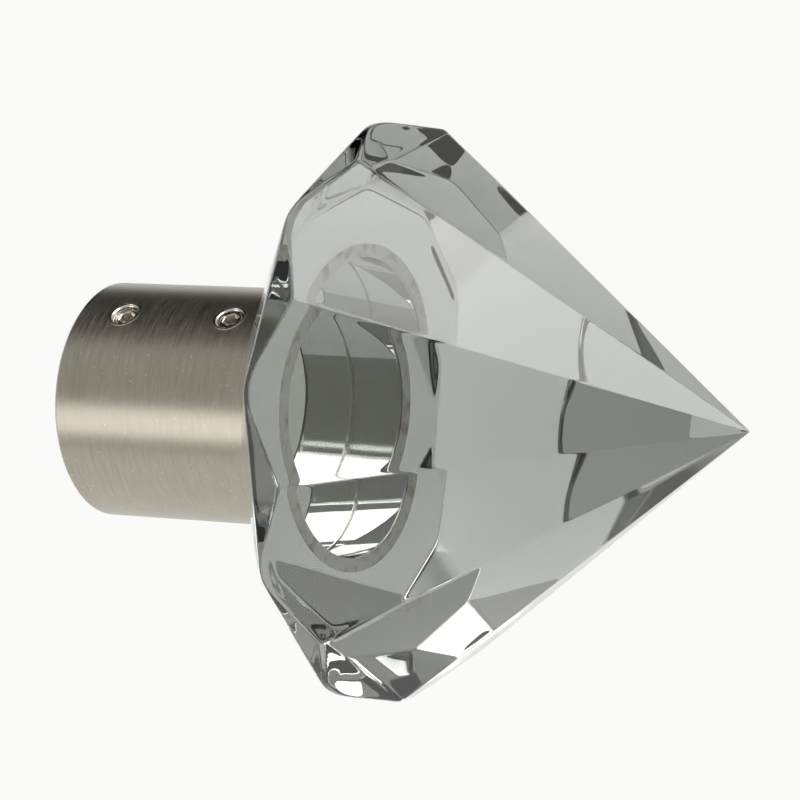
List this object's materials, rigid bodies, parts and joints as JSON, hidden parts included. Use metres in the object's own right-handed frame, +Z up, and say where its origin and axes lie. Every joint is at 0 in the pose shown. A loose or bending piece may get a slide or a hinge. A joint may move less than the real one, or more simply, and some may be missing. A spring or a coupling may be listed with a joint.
{
  "type": "curtain pole finial",
  "caption": "Curtain pole finial: a clear faceted diamond-shaped head on a brushed metal collar that slides over the pole end and is fixed by grub screws.",
  "frame": {"origin": "centre of the collar's mouth, where the pole goes in", "axes": "+X along the pole's axis to the tip of the head, +Z up through the two grub screws"},
  "size_m": [0.0944, 0.0768, 0.0774],
  "materials": {
    "clear_glass": "clear pressed and polished glass with flat facets",
    "brushed_nickel": "satin nickel plate, brushed round the tube",
    "bright_steel": "nickel plated steel"
  },
  "bodies": {
    "root": {"crystal_head": "clear_glass", "collar": "brushed_nickel", "grub_screws": "bright_steel"}
  },
  "joints": []
}
